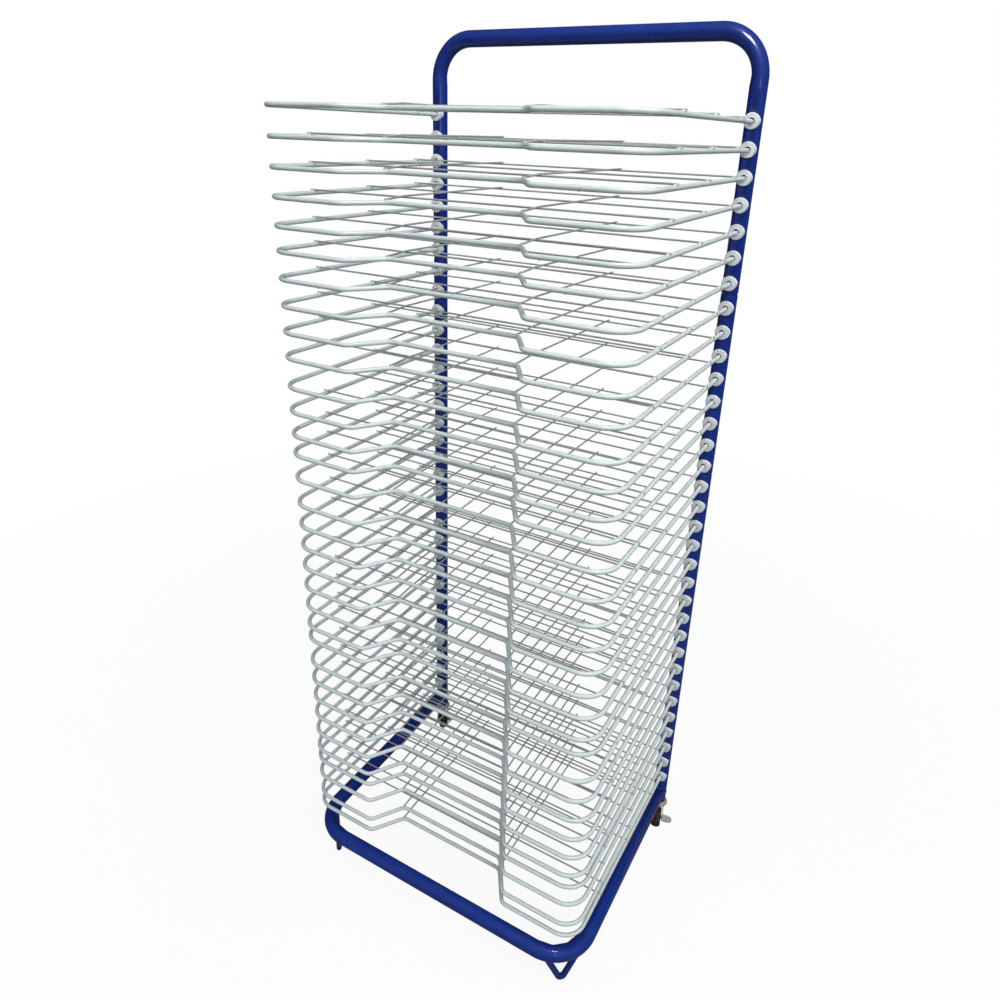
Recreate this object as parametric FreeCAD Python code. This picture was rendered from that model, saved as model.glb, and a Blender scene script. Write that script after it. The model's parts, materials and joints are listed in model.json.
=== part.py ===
import FreeCAD, Part
import math
import os

# Art drying rack: a tube frame on two castors and two bent feet, with wire trays that plug into
# bushes in its uprights and rock up a little in them.
# Millimetres. +X is the rack's right seen from the front, +Y its back, +Z up.
# The origin is on the floor, midway between the axes of the two uprights.

Vector = FreeCAD.Vector
BACK = Vector(0, 1, 0)
UP = Vector(0, 0, 1)
LEFT_SIDE = -1
RIGHT_SIDE = 1
SIDES = {"left": LEFT_SIDE, "right": RIGHT_SIDE}
PAST = 5.0                     # how far a cutting tool runs past what it cuts
SMALL = 1e-6                   # two places this close are the same

# Frame tube
TUBE_D = 25.0
TUBE_WALL = 1.5
UPRIGHT_SPACING = 528.0        # between the axes of the uprights
HANDLE_RISE = 112.6            # handle bar's axis above the top bushes
HOOP_BEND_R = 60.0             # on the tube's axis
BASE_RISE = 24.0               # base tube's axis above the lower ends of the uprights
BASE_REACH = 416.0             # from the uprights' axes to the front bar's axis
BASE_BEND_R = 64.0             # on the tube's axis
TUBE_END_ROUND = 1.2           # rounding of the tube ends at the joints

# Joints of the uprights, each with a spigot inside
JOINT_DROP = 17.0              # joint below the last bush of the tube above it
SPIGOT_HALF = 32.0             # length in each tube
SPIGOT_GAP = 0.1               # radial, to the tube's bore
SPIGOT_WALL = 2.0
SPIGOT_HOLE_GAP = 0.5          # radial, round the shanks that pass through a spigot
COLLAR_H = 2.4                 # the narrow waist between two tube ends
COLLAR_INSET = 1.0             # collar's face inside the tube's

# Trays
TRAY_COUNT = 33
HOOP_TRAYS = 7                 # carried by the top hoop
MIDDLE_TRAYS = 8               # carried by the middle uprights
TRAY_PITCH = 37.2
LOWEST_TRAY_RISE = 44.0        # lowest bushes above the base tube's axis
TRAY_REACH = 413.0             # from the uprights' axes to the front wire's axis
TRAY_CORNER_R = 35.0           # on the wire's axis
RIM_D = 6.4
WIRE_D = 2.5
NOTCH_FRONT_HALF = 134.3       # half width at the front wire
NOTCH_REAR_HALF = 99.5         # half width at the back of the notch
NOTCH_DEPTH = 52.5
NOTCH_BEND_R = 14.0
CROSS_WIRES = 3
REAR_CROSS_REACH = 70.0        # rearmost cross wire, from the uprights' axes
CROSS_SPACING = 123.5
CROSS_OVERHANG = 4.4           # cross wire's end past the arm's axis
LONG_OVERHANG = 3.5            # front-to-back wire's ends past what they rest on
LONG_RAMP_R = 30.0
LONG_RAMP_START = 5.0          # ramp's upper end, in front of the first cross wire
LONG_LANDING = 6.0             # level stretch behind the notch wire
WELD_SINK = 0.3                # how deep welded wires bite into each other
ROD_PAST_TUBE = 1.0            # arm's end behind the upright's back face
LEAN_REACH = 24.0              # where use has bent the arms, in front of the uprights' axes
LEAN_BEND_R = 60.0
TRAY_LEANS = {                 # degrees that the fronts of these trays stand above level, or below
    range(6, 11): 0.6,
    range(11, 14): -0.4,
    range(14, 15): 0.5,
    range(16, 23): -0.9,
    range(23, 24): 0.8,
    range(24, 30): -1.0,
    range(30, 32): 1.0,
    range(33, 34): 1.8,
}

# Front bushes
FLANGE_D = 22.2
FLANGE_PROUD = 2.6             # in front of the tube
FLANGE_BEVEL = 0.9
SHANK_D = 11.2
SHANK_PAST_WALL = 2.0
BUSH_BORE_D = 8.7
BUSH_CHAMFER = 0.5
ROD_SIT_GAP = 0.3              # under the arm at rest
HOLE_GAP = 0.1                 # radial, round a shank in its hole
SADDLE_GAP = 0.02              # between a flange or cap and the round tube

# Rear caps
CAP_D = 12.0
CAP_PROUD = 3.4
CAP_SHANK_D = 9.2
CAP_SHANK_PAST_WALL = 1.5
CAP_BORE_GAP = 0.45            # radial, round the arm
CAP_END_GAP = 0.5              # behind the arm's end
CAP_EDGE = 1.0                 # straight rim under the dome, outside the tube

# Feet: one bent rod under each front corner, in the plane across the corner
FOOT_ROD_D = 10.0
FOOT_HALF_SPREAD = 35.0        # half width between the legs where they meet the tube
FOOT_BEND_R = 6.0

# Castors
WHEEL_D = 40.0
WHEEL_W = 18.0
TREAD_ROUND = 3.0
HUB_D = 29.0
HUB_RIM_T = 2.4
HUB_BOSS_D = 15.0
HUB_RECESS = 1.6               # depth of the hub's sides between the rim and the boss
TRAIL = 16.0                   # wheel's axle from the swivel axis
SIDE_GAP = 1.2                 # between the wheel and each leg of the fork
TOP_GAP = 3.2                  # between the wheel and the crown of the fork
FORK_T = 1.8
CROWN_R = 15.5
CROWN_BACK = 7.0               # leg's top edge, on the side away from the wheel
CROWN_FRONT = 11.0             # leg's top edge, on the wheel's side
BOSS_R = 6.5
RACE_GAP = 0.3                 # between the crown and the rim of the cup
CUP_R = 17.0
CUP_H = 6.7
CUP_ROUND = 6.0                # rounding of the dome over the race
CUP_WALL = 1.3
BALL_D = 3.2
BALL_RING_R = 11.5
BALL_COUNT = 16
BALL_GAP = 0.05                # under the balls
KINGPIN_D = 7.0
RIVET_HEAD_H = 1.4
RIVET_HEAD_OVER = 2.2          # rivet head's radius beyond its shank's
PIN_GAP = 0.06                 # radial running clearance of the pins
AXLE_D = 6.0
STEM_D = 10.0
STEM_L = 28.0
STEM_GAP = 0.1                 # radial, in the socket
STEM_TIP_CHAMFER = 1.0
SOCKET_L = 34.0
SOCKET_FLANGE_T = 1.5
SOCKET_GAP = 0.1               # radial, in the upright
LEVER_T = 1.5
LEVER_GAP = 0.3                # between the fork's leg and the lever
LEVER_RISE = 12.0              # top of the tab above the axle
LEVER_TRAIL = 12.0             # tab's centre past the axle
LEVER_BOSS_R = 6.5
TAB_W = 16.0
TAB_OUT = 18.0                 # tab's reach from the plate's inner face
SWIVEL_REST = {"left": -50.0, "right": -77.0}   # degrees in plan, the way each wheel trails

# Worked out from the values above
TUBE_R = TUBE_D / 2
BORE_R = TUBE_R - TUBE_WALL
RIM_R = RIM_D / 2
WIRE_R = WIRE_D / 2
AXLE_Z = WHEEL_D / 2
CROWN_Z = WHEEL_D + TOP_GAP
CUP_RIM_Z = CROWN_Z + FORK_T + RACE_GAP
CUP_TOP_Z = CUP_RIM_Z + CUP_H
UPRIGHT_FOOT_Z = CUP_TOP_Z + SOCKET_FLANGE_T
BASE_Z = UPRIGHT_FOOT_Z + BASE_RISE
LOWEST_TRAY_Z = BASE_Z + LOWEST_TRAY_RISE
TOP_TRAY_Z = LOWEST_TRAY_Z + (TRAY_COUNT - 1) * TRAY_PITCH
HANDLE_Z = TOP_TRAY_Z + HANDLE_RISE
ROD_SIT = BUSH_BORE_D / 2 - RIM_R - ROD_SIT_GAP   # arm's axis at rest below its bush's axis
ROD_END_Y = TUBE_R + ROD_PAST_TUBE


def tray_z(number):
    """Height of the bushes' axes of one tray, 1 at the top."""
    return TOP_TRAY_Z - (number - 1) * TRAY_PITCH


def tray_lean(number):
    """Degrees that one tray's front stands above level."""
    for numbers, lean in TRAY_LEANS.items():
        if number in numbers:
            return lean
    return 0.0


def joint_z(last_tray):
    """Middle of the joint under the tube that carries the given tray as its last."""
    return tray_z(last_tray) - JOINT_DROP


def rounded_path(points, bend_radii):
    """A wire through the points, with an arc of its own radius at each inner point."""
    edges = []
    start = points[0]
    for before, corner, after, radius in zip(points, points[1:], points[2:], bend_radii):
        way_in = (before - corner).normalize()
        way_out = (after - corner).normalize()
        half_turn = (math.pi - way_in.getAngle(way_out)) / 2
        tangent = radius * math.tan(half_turn)
        arc_start = corner + way_in * tangent
        arc_end = corner + way_out * tangent
        inward = (way_in + way_out).normalize()
        arc_middle = corner + inward * (radius / math.cos(half_turn) - radius)
        edges.append(Part.LineSegment(start, arc_start).toShape())
        edges.append(Part.Arc(arc_start, arc_middle, arc_end).toShape())
        start = arc_end
    edges.append(Part.LineSegment(start, points[-1]).toShape())
    return Part.Wire(edges)


def swept_rod(path, diameter):
    """A round rod along a wire."""
    first = path.Edges[0]
    start = first.valueAt(first.FirstParameter)
    way = first.tangentAt(first.FirstParameter)
    circle = Part.Circle(start, way, diameter / 2).toShape()
    return path.makePipeShell([Part.Wire(circle)], True, False)


def cylinder(radius, start, end):
    """A round bar from one point to another."""
    return Part.makeCylinder(radius, (end - start).Length, start, end - start)


def rim_edges(shape, z):
    """The circles of a turned shape that lie at one height."""
    return [edge for edge in shape.Edges
            if edge.Closed and abs(edge.BoundBox.ZMin - z) < SMALL and abs(edge.BoundBox.ZMax - z) < SMALL]


def only_solid(shape):
    """The one solid of a shape that may come wrapped in a compound."""
    return shape.removeSplitter().Solids[0]


# --- frame ---------------------------------------------------------------------------------


def bush_hole_cutters(side, trays):
    """Tools for the holes of the given trays: a bush's in front, a cap's at the back."""
    x = side * UPRIGHT_SPACING / 2
    tools = []
    for number in trays:
        z = tray_z(number)
        front_r = SHANK_D / 2 + HOLE_GAP
        rear_r = CAP_SHANK_D / 2 + HOLE_GAP
        tools.append(cylinder(front_r, Vector(x, -TUBE_R - PAST, z), Vector(x, 0, z)))
        tools.append(cylinder(rear_r, Vector(x, 0, z - ROD_SIT), Vector(x, TUBE_R + PAST, z - ROD_SIT)))
    return tools


def rounded_tube_end(x, z, way):
    """A tool that rounds the outer edge of a vertical tube's end, way pointing out of it."""
    depth = TUBE_END_ROUND
    blank = cylinder(TUBE_R + PAST, Vector(x, 0, z - way * depth), Vector(x, 0, z + way * PAST))
    keep = cylinder(TUBE_R, Vector(x, 0, z - way * 2 * depth), Vector(x, 0, z))
    return blank.cut(keep.makeFillet(depth, rim_edges(keep, z)))


def straight_upright(side, top_z, bottom_z, trays, top_joint, bottom_joint):
    """One straight length of an upright, with the holes of its trays."""
    x = side * UPRIGHT_SPACING / 2
    outside = cylinder(TUBE_R, Vector(x, 0, bottom_z), Vector(x, 0, top_z))
    bore = cylinder(BORE_R, Vector(x, 0, bottom_z - PAST), Vector(x, 0, top_z + PAST))
    tools = [bore] + bush_hole_cutters(side, trays)
    if top_joint:
        tools.append(rounded_tube_end(x, top_z, 1))
    if bottom_joint:
        tools.append(rounded_tube_end(x, bottom_z, -1))
    return only_solid(outside.cut(tools))


def top_hoop():
    """The handle bar and the upper lengths of both uprights, bent from one tube."""
    half = UPRIGHT_SPACING / 2
    foot_z = joint_z(HOOP_TRAYS) + COLLAR_H / 2
    corners = [Vector(-half, 0, foot_z), Vector(-half, 0, HANDLE_Z),
               Vector(half, 0, HANDLE_Z), Vector(half, 0, foot_z)]
    path = rounded_path(corners, [HOOP_BEND_R] * 2)
    outside = swept_rod(path, TUBE_D)
    tools = [swept_rod(path, 2 * BORE_R)]
    for side in SIDES.values():
        tools += bush_hole_cutters(side, range(1, HOOP_TRAYS + 1))
        tools.append(rounded_tube_end(side * half, foot_z, -1))
    return only_solid(outside.cut(tools))


def middle_upright(side):
    last = HOOP_TRAYS + MIDDLE_TRAYS
    top_z = joint_z(HOOP_TRAYS) - COLLAR_H / 2
    bottom_z = joint_z(last) + COLLAR_H / 2
    return straight_upright(side, top_z, bottom_z, range(HOOP_TRAYS + 1, last + 1), True, True)


def lower_upright(side):
    first = HOOP_TRAYS + MIDDLE_TRAYS + 1
    top_z = joint_z(first - 1) - COLLAR_H / 2
    return straight_upright(side, top_z, UPRIGHT_FOOT_Z, range(first, TRAY_COUNT + 1), True, False)


def joint_spigots():
    """A sleeve inside each joint, with the collar that both tube ends rest on."""
    sleeves = []
    for side in SIDES.values():
        x = side * UPRIGHT_SPACING / 2
        for last in (HOOP_TRAYS, HOOP_TRAYS + MIDDLE_TRAYS):
            z = joint_z(last)
            low = Vector(x, 0, z - SPIGOT_HALF)
            high = Vector(x, 0, z + SPIGOT_HALF)
            sleeve = cylinder(BORE_R - SPIGOT_GAP, low, high)
            collar = cylinder(TUBE_R - COLLAR_INSET, Vector(x, 0, z - COLLAR_H / 2),
                              Vector(x, 0, z + COLLAR_H / 2))
            tools = [cylinder(BORE_R - SPIGOT_GAP - SPIGOT_WALL, low - UP * PAST, high + UP * PAST)]
            for number in (last, last + 1):
                front = Vector(x, -TUBE_R, tray_z(number))
                rear = Vector(x, TUBE_R, tray_z(number) - ROD_SIT)
                tools.append(cylinder(SHANK_D / 2 + SPIGOT_HOLE_GAP, front, Vector(x, 0, front.z)))
                tools.append(cylinder(CAP_SHANK_D / 2 + SPIGOT_HOLE_GAP, Vector(x, 0, rear.z), rear))
            sleeves.append(only_solid(sleeve.fuse(collar).cut(tools)))
    return Part.makeCompound(sleeves)


def base_loop():
    """The U-shaped base tube, coped to the fronts of the lower uprights."""
    half = UPRIGHT_SPACING / 2
    corners = [Vector(-half, 0, BASE_Z), Vector(-half, -BASE_REACH, BASE_Z),
               Vector(half, -BASE_REACH, BASE_Z), Vector(half, 0, BASE_Z)]
    path = rounded_path(corners, [BASE_BEND_R] * 2)
    tools = [swept_rod(path, 2 * BORE_R)]
    for side in SIDES.values():
        low = Vector(side * half, 0, BASE_Z - TUBE_D)
        tools.append(cylinder(TUBE_R + SADDLE_GAP, low, low + UP * 2 * TUBE_D))
    return only_solid(swept_rod(path, TUBE_D).cut(tools))


def front_foot(side):
    """A rod bent to a V under a front corner of the base, coped to the tube's underside."""
    middle = Vector(side * (UPRIGHT_SPACING / 2 - BASE_BEND_R), -BASE_REACH + BASE_BEND_R, 0)
    outward = Vector(side, -1, 0).normalize()
    across = Vector(side, 1, 0).normalize()
    # the legs meet the bent tube where the V's plane crosses its axis
    centre = middle + outward * math.sqrt(BASE_BEND_R ** 2 - FOOT_HALF_SPREAD ** 2)
    top_z = BASE_Z - TUBE_R + FOOT_ROD_D
    # half the angle between the legs, whose bend rests on the floor at its lowest point
    rise = top_z - FOOT_ROD_D / 2 - FOOT_BEND_R
    lean = math.atan2(FOOT_HALF_SPREAD, rise) - math.asin(FOOT_BEND_R / math.hypot(FOOT_HALF_SPREAD, rise))
    corner = centre + UP * (top_z - FOOT_HALF_SPREAD / math.tan(lean))
    path = rounded_path([centre - across * FOOT_HALF_SPREAD + UP * top_z, corner,
                         centre + across * FOOT_HALF_SPREAD + UP * top_z], [FOOT_BEND_R])
    ring = Part.makeTorus(BASE_BEND_R, TUBE_R, middle + UP * BASE_Z)
    foot = swept_rod(path, FOOT_ROD_D).cut([ring] + [base_side_bar(side), base_front_bar(side)])
    return only_solid(foot)


def base_side_bar(side):
    """Outline of the base's side tube, to cope a foot against."""
    x = side * UPRIGHT_SPACING / 2
    return cylinder(TUBE_R, Vector(x, -BASE_REACH + BASE_BEND_R, BASE_Z), Vector(x, 0, BASE_Z))


def base_front_bar(side):
    """Outline of half the base's front tube, to cope a foot against."""
    x = side * (UPRIGHT_SPACING / 2 - BASE_BEND_R)
    return cylinder(TUBE_R, Vector(0, -BASE_REACH, BASE_Z), Vector(x, -BASE_REACH, BASE_Z))


# --- trays ---------------------------------------------------------------------------------


def leaned(point, lean):
    """A point of a level tray, turned up with it about the bend in its arms."""
    turn = FreeCAD.Rotation(Vector(-1, 0, 0), lean)
    hinge = Vector(0, -LEAN_REACH, 0)
    return hinge + turn.multVec(point - hinge)


def tray_rim(lean):
    """The bent rim: arm, front corner, notch, front corner, arm."""
    half = UPRIGHT_SPACING / 2
    front = [Vector(-half, -TRAY_REACH, 0), Vector(-NOTCH_FRONT_HALF, -TRAY_REACH, 0),
             Vector(-NOTCH_REAR_HALF, -TRAY_REACH + NOTCH_DEPTH, 0),
             Vector(NOTCH_REAR_HALF, -TRAY_REACH + NOTCH_DEPTH, 0),
             Vector(NOTCH_FRONT_HALF, -TRAY_REACH, 0), Vector(half, -TRAY_REACH, 0)]
    corners = [leaned(point, lean) for point in front]
    radii = [TRAY_CORNER_R] + [NOTCH_BEND_R] * 4 + [TRAY_CORNER_R]
    if lean:
        corners = [Vector(-half, -LEAN_REACH, 0)] + corners + [Vector(half, -LEAN_REACH, 0)]
        radii = [LEAN_BEND_R] + radii + [LEAN_BEND_R]
    ends = [Vector(-half, ROD_END_Y, 0), Vector(half, ROD_END_Y, 0)]
    return swept_rod(rounded_path(ends[:1] + corners + ends[1:], radii), RIM_D)


def cross_wire(reach, lean):
    """A left-to-right wire welded on top of both arms."""
    half = UPRIGHT_SPACING / 2 + CROSS_OVERHANG
    z = RIM_R + WIRE_R - WELD_SINK
    return cylinder(WIRE_R, leaned(Vector(-half, -reach, z), lean), leaned(Vector(half, -reach, z), lean))


def long_wire(x, lean):
    """A front-to-back wire on top of the cross wires, down to the notch wire in front."""
    first_reach = REAR_CROSS_REACH + (CROSS_WIRES - 1) * CROSS_SPACING
    notch_reach = TRAY_REACH - NOTCH_DEPTH
    high = RIM_R + WIRE_R + WIRE_D - 2 * WELD_SINK
    low = RIM_R + WIRE_R - WELD_SINK
    points = [Vector(x, -REAR_CROSS_REACH + LONG_OVERHANG, high),
              Vector(x, -first_reach - LONG_RAMP_START, high),
              Vector(x, -notch_reach + LONG_LANDING, low),
              Vector(x, -notch_reach - LONG_OVERHANG, low)]
    path = rounded_path([leaned(point, lean) for point in points], [LONG_RAMP_R] * 2)
    return swept_rod(path, WIRE_D)


def wire_tray(lean):
    """One tray with the ends of its arms at height zero."""
    wires = [cross_wire(REAR_CROSS_REACH + i * CROSS_SPACING, lean) for i in range(CROSS_WIRES)]
    wires += [long_wire(-NOTCH_REAR_HALF, lean), long_wire(NOTCH_REAR_HALF, lean)]
    return tray_rim(lean).fuse(wires).Solids[0]


def front_bush():
    """A flanged bush round the point (0, 0, 0) on an upright's axis, its bore below centre."""
    face_y = -TUBE_R - FLANGE_PROUD
    flange = cylinder(FLANGE_D / 2, Vector(0, face_y, 0), Vector(0, 0, 0))
    rim = [edge for edge in flange.Edges if edge.Closed and abs(edge.BoundBox.YMax - face_y) < SMALL]
    flange = flange.makeChamfer(FLANGE_BEVEL, rim)
    flange = flange.cut(cylinder(TUBE_R + SADDLE_GAP, Vector(0, 0, -FLANGE_D), Vector(0, 0, FLANGE_D)))
    shank_end = -BORE_R + SHANK_PAST_WALL
    shank = cylinder(SHANK_D / 2, Vector(0, face_y + FLANGE_PROUD / 2, 0), Vector(0, shank_end, 0))
    bore_r = BUSH_BORE_D / 2
    bore = cylinder(bore_r, Vector(0, face_y - PAST, 0), Vector(0, shank_end + PAST, 0))
    mouth = Part.makeCone(bore_r + BUSH_CHAMFER, bore_r, BUSH_CHAMFER, Vector(0, face_y, 0), BACK)
    return only_solid(flange.fuse(shank).cut([bore, mouth]))


def rear_cap():
    """A domed cap round the point (0, 0, 0) on an upright's axis, with a blind bore."""
    rim_y = TUBE_R + CAP_EDGE
    top_y = TUBE_R + CAP_PROUD
    rise = top_y - rim_y
    dome_r = ((CAP_D / 2) ** 2 + rise ** 2) / (2 * rise)
    dome = Part.makeSphere(dome_r, Vector(0, top_y - dome_r, 0))
    body = cylinder(CAP_D / 2, Vector(0, TUBE_R / 2, 0), Vector(0, top_y + PAST, 0)).common(dome)
    body = body.cut(cylinder(TUBE_R + SADDLE_GAP, Vector(0, 0, -CAP_D), Vector(0, 0, CAP_D)))
    shank = cylinder(CAP_SHANK_D / 2, Vector(0, BORE_R - CAP_SHANK_PAST_WALL, 0), Vector(0, rim_y, 0))
    bore = cylinder(RIM_R + CAP_BORE_GAP, Vector(0, 0, 0), Vector(0, ROD_END_Y + CAP_END_GAP, 0))
    return only_solid(body.fuse(shank).cut(bore))


def at_every_hole(piece, drop):
    """Copies of a piece at each tray's arms, drop below the bushes' axes."""
    copies = []
    for side in SIDES.values():
        for number in range(1, TRAY_COUNT + 1):
            copy = piece.copy()
            copy.translate(Vector(side * UPRIGHT_SPACING / 2, 0, tray_z(number) - drop))
            copies.append(copy)
    return Part.makeCompound(copies)


# --- castors -------------------------------------------------------------------------------
# Each is modelled round the swivel axis at x = y = 0, with the wheel trailing towards +X and
# the brake lever on the +Y side, then turned and moved under its upright.


def placed_castor_piece(piece, side_name):
    piece = piece.copy()
    piece.rotate(Vector(0, 0, 0), UP, SWIVEL_REST[side_name])
    piece.translate(Vector(SIDES[side_name] * UPRIGHT_SPACING / 2, 0, 0))
    return piece


def castor_socket():
    """The flanged insert in the upright's lower end."""
    flange = cylinder(TUBE_R, Vector(0, 0, CUP_TOP_Z), Vector(0, 0, UPRIGHT_FOOT_Z))
    body = cylinder(BORE_R - SOCKET_GAP, Vector(0, 0, UPRIGHT_FOOT_Z),
                    Vector(0, 0, UPRIGHT_FOOT_Z + SOCKET_L))
    bore = cylinder(STEM_D / 2 + STEM_GAP, Vector(0, 0, CUP_TOP_Z - PAST),
                    Vector(0, 0, UPRIGHT_FOOT_Z + SOCKET_L + PAST))
    return only_solid(flange.fuse(body).cut(bore))


def castor_stem():
    """The stem, the domed cup over the ball race and the kingpin riveted under the crown."""
    cup = cylinder(CUP_R, Vector(0, 0, CUP_RIM_Z), Vector(0, 0, CUP_TOP_Z))
    cup = cup.makeFillet(CUP_ROUND, rim_edges(cup, CUP_TOP_Z))
    ceiling_z = CUP_TOP_Z - CUP_WALL
    hollow = cylinder(CUP_R - CUP_WALL, Vector(0, 0, CUP_RIM_Z - PAST), Vector(0, 0, ceiling_z))
    cup = cup.cut(hollow.makeFillet(CUP_ROUND - CUP_WALL, rim_edges(hollow, ceiling_z)))
    stem_top = CUP_TOP_Z + STEM_L
    stem = cylinder(STEM_D / 2, Vector(0, 0, CUP_TOP_Z - CUP_WALL), Vector(0, 0, stem_top))
    stem = stem.makeChamfer(STEM_TIP_CHAMFER, rim_edges(stem, stem_top))
    # the race's inner land stands on the crown with the same gap as the cup's rim
    land = cylinder(KINGPIN_D / 2 + RIVET_HEAD_OVER, Vector(0, 0, CUP_RIM_Z), Vector(0, 0, CUP_TOP_Z))
    kingpin = cylinder(KINGPIN_D / 2, Vector(0, 0, CROWN_Z - RACE_GAP), Vector(0, 0, CUP_TOP_Z))
    head_top = Vector(0, 0, CROWN_Z - RACE_GAP)
    head = cylinder(KINGPIN_D / 2 + RIVET_HEAD_OVER, head_top - UP * RIVET_HEAD_H, head_top)
    return only_solid(cup.fuse([stem, land, kingpin, head]))


def castor_balls():
    """The ring of balls that rolls on the crown inside the cup."""
    z = CROWN_Z + FORK_T + BALL_GAP + BALL_D / 2
    balls = []
    for i in range(BALL_COUNT):
        turn = 2 * math.pi * i / BALL_COUNT
        place = Vector(BALL_RING_R * math.cos(turn), BALL_RING_R * math.sin(turn), z)
        balls.append(Part.makeSphere(BALL_D / 2, place))
    return Part.makeCompound(balls)


def castor_fork():
    """The pressed fork: a round crown and two legs down to the axle."""
    crown = cylinder(CROWN_R, Vector(0, 0, CROWN_Z), Vector(0, 0, CROWN_Z + FORK_T))
    inner_y = WHEEL_W / 2 + SIDE_GAP
    legs = []
    for y in (-inner_y - FORK_T, inner_y):
        outline = [Vector(-CROWN_BACK, y, CROWN_Z + FORK_T), Vector(CROWN_FRONT, y, CROWN_Z + FORK_T),
                   Vector(TRAIL + BOSS_R, y, AXLE_Z), Vector(TRAIL - BOSS_R, y, AXLE_Z)]
        face = Part.Face(Part.makePolygon(outline + outline[:1]))
        legs.append(face.extrude(Vector(0, FORK_T, 0)))
        legs.append(cylinder(BOSS_R, Vector(TRAIL, y, AXLE_Z), Vector(TRAIL, y + FORK_T, AXLE_Z)))
    reach = inner_y + FORK_T + PAST
    tools = [cylinder(AXLE_D / 2 + PIN_GAP, Vector(TRAIL, -reach, AXLE_Z), Vector(TRAIL, reach, AXLE_Z)),
             cylinder(KINGPIN_D / 2 + PIN_GAP, Vector(0, 0, CROWN_Z - PAST), Vector(0, 0, CUP_TOP_Z))]
    return only_solid(crown.fuse(legs).cut(tools))


def castor_axle():
    """The rivet through the fork, the wheel and the lever."""
    right_y = -WHEEL_W / 2 - SIDE_GAP - FORK_T - LEVER_GAP
    left_y = WHEEL_W / 2 + SIDE_GAP + FORK_T + LEVER_GAP + LEVER_T + LEVER_GAP
    shank = cylinder(AXLE_D / 2, Vector(TRAIL, right_y - RIVET_HEAD_H / 2, AXLE_Z),
                     Vector(TRAIL, left_y + RIVET_HEAD_H / 2, AXLE_Z))
    head_r = AXLE_D / 2 + RIVET_HEAD_OVER
    heads = [cylinder(head_r, Vector(TRAIL, right_y - RIVET_HEAD_H, AXLE_Z), Vector(TRAIL, right_y, AXLE_Z)),
             cylinder(head_r, Vector(TRAIL, left_y, AXLE_Z), Vector(TRAIL, left_y + RIVET_HEAD_H, AXLE_Z))]
    return only_solid(shank.fuse(heads))


def castor_wheel():
    """The hub, with a shallow recess in each side."""
    half = WHEEL_W / 2
    hub = cylinder(HUB_D / 2, Vector(TRAIL, -half, AXLE_Z), Vector(TRAIL, half, AXLE_Z))
    rim_r = HUB_D / 2 - HUB_RIM_T
    tools = [cylinder(AXLE_D / 2 + PIN_GAP, Vector(TRAIL, -WHEEL_W, AXLE_Z), Vector(TRAIL, WHEEL_W, AXLE_Z))]
    for way in (-1, 1):
        face = Vector(TRAIL, way * (half + PAST), AXLE_Z)
        floor = Vector(TRAIL, way * (half - HUB_RECESS), AXLE_Z)
        tools.append(cylinder(rim_r, floor, face).cut(cylinder(HUB_BOSS_D / 2, floor, face)))
    return only_solid(hub.cut(tools))


def castor_tyre():
    """The tread round the hub, with rounded shoulders."""
    half = WHEEL_W / 2
    tyre = cylinder(WHEEL_D / 2, Vector(TRAIL, -half, AXLE_Z), Vector(TRAIL, half, AXLE_Z))
    shoulders = [edge for edge in tyre.Edges if edge.Closed]
    tyre = tyre.makeFillet(TREAD_ROUND, shoulders)
    seat = cylinder(HUB_D / 2, Vector(TRAIL, -WHEEL_W, AXLE_Z), Vector(TRAIL, WHEEL_W, AXLE_Z))
    return only_solid(tyre.cut(seat))


def castor_brake_lever():
    """The side lever that turns on the axle, with a round-ended tab for the foot."""
    y = WHEEL_W / 2 + SIDE_GAP + FORK_T + LEVER_GAP
    tab_x = TRAIL + LEVER_TRAIL
    tab_z = AXLE_Z + LEVER_RISE
    arm = math.hypot(LEVER_TRAIL, LEVER_RISE)
    side_x = -LEVER_RISE / arm * LEVER_BOSS_R
    side_z = LEVER_TRAIL / arm * LEVER_BOSS_R
    outline = [Vector(TRAIL + side_x, y, AXLE_Z + side_z), Vector(tab_x - TAB_W / 2, y, tab_z),
               Vector(tab_x + TAB_W / 2, y, tab_z), Vector(TRAIL - side_x, y, AXLE_Z - side_z)]
    plate = Part.Face(Part.makePolygon(outline + outline[:1])).extrude(Vector(0, LEVER_T, 0))
    boss = cylinder(LEVER_BOSS_R, Vector(TRAIL, y, AXLE_Z), Vector(TRAIL, y + LEVER_T, AXLE_Z))
    straight = TAB_OUT - TAB_W / 2
    tab = Part.makeBox(TAB_W, straight, LEVER_T, Vector(tab_x - TAB_W / 2, y, tab_z - LEVER_T))
    round_end = Vector(tab_x, y + straight, tab_z)
    end = cylinder(TAB_W / 2, round_end - UP * LEVER_T, round_end)
    hole = cylinder(AXLE_D / 2 + PIN_GAP, Vector(TRAIL, y - PAST, AXLE_Z), Vector(TRAIL, y + PAST, AXLE_Z))
    return only_solid(plate.fuse([boss, tab, end]).cut(hole))


CASTOR_PIECES = {
    "socket": castor_socket,
    "stem": castor_stem,
    "balls": castor_balls,
    "fork": castor_fork,
    "axle": castor_axle,
    "wheel": castor_wheel,
    "tyre": castor_tyre,
    "brake_lever": castor_brake_lever,
}


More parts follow.
